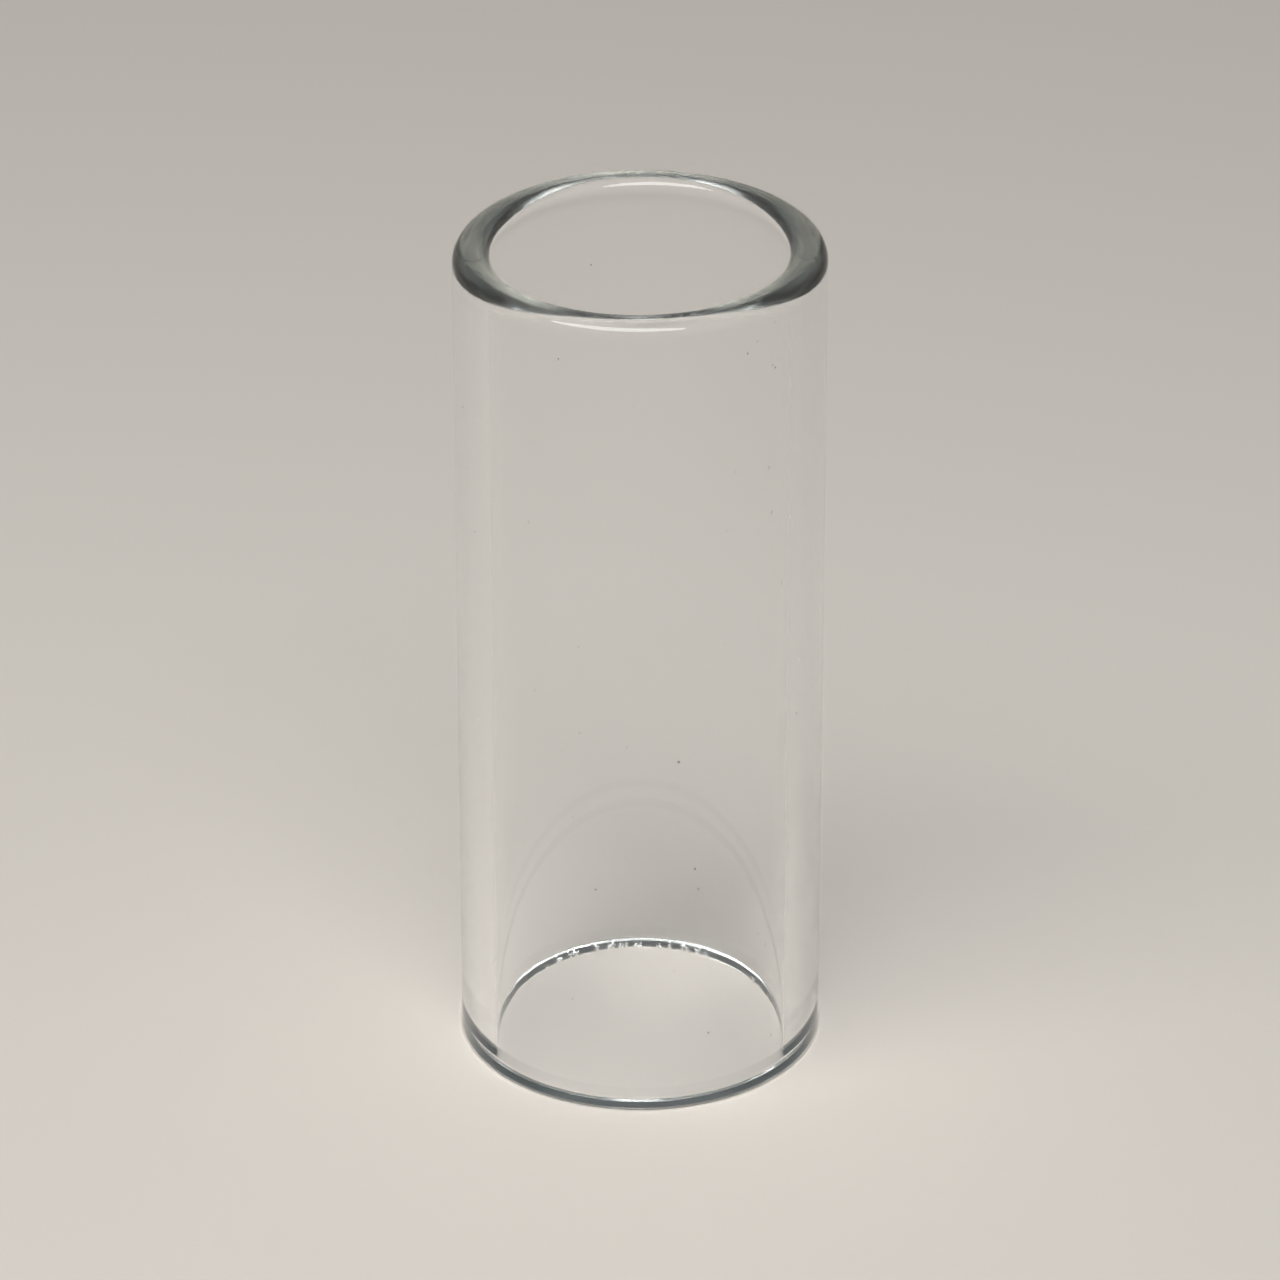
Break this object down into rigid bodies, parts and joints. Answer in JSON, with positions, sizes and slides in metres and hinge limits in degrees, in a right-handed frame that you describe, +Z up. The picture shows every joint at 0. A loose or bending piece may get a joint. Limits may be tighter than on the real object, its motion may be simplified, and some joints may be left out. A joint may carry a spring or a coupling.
{
  "type": "guitar slide",
  "caption": "Straight clear-glass guitar slide tube, open at both ends, with a fire-polished rounded lip and a ground flat foot.",
  "frame": {"origin": "centre of the tube at the foot, on the surface that the slide stands on", "axes": "+Z up along the tube's axis, from the ground foot to the fire-polished lip; the slide is the same all round, so X and Y are free"},
  "size_m": [0.025, 0.025, 0.06],
  "materials": {
    "clear_glass": "polished clear glass, faintly grey-green through its thickness, fine-ground at the foot"
  },
  "bodies": {
    "root": {"glass_tube": "clear_glass"}
  },
  "joints": []
}
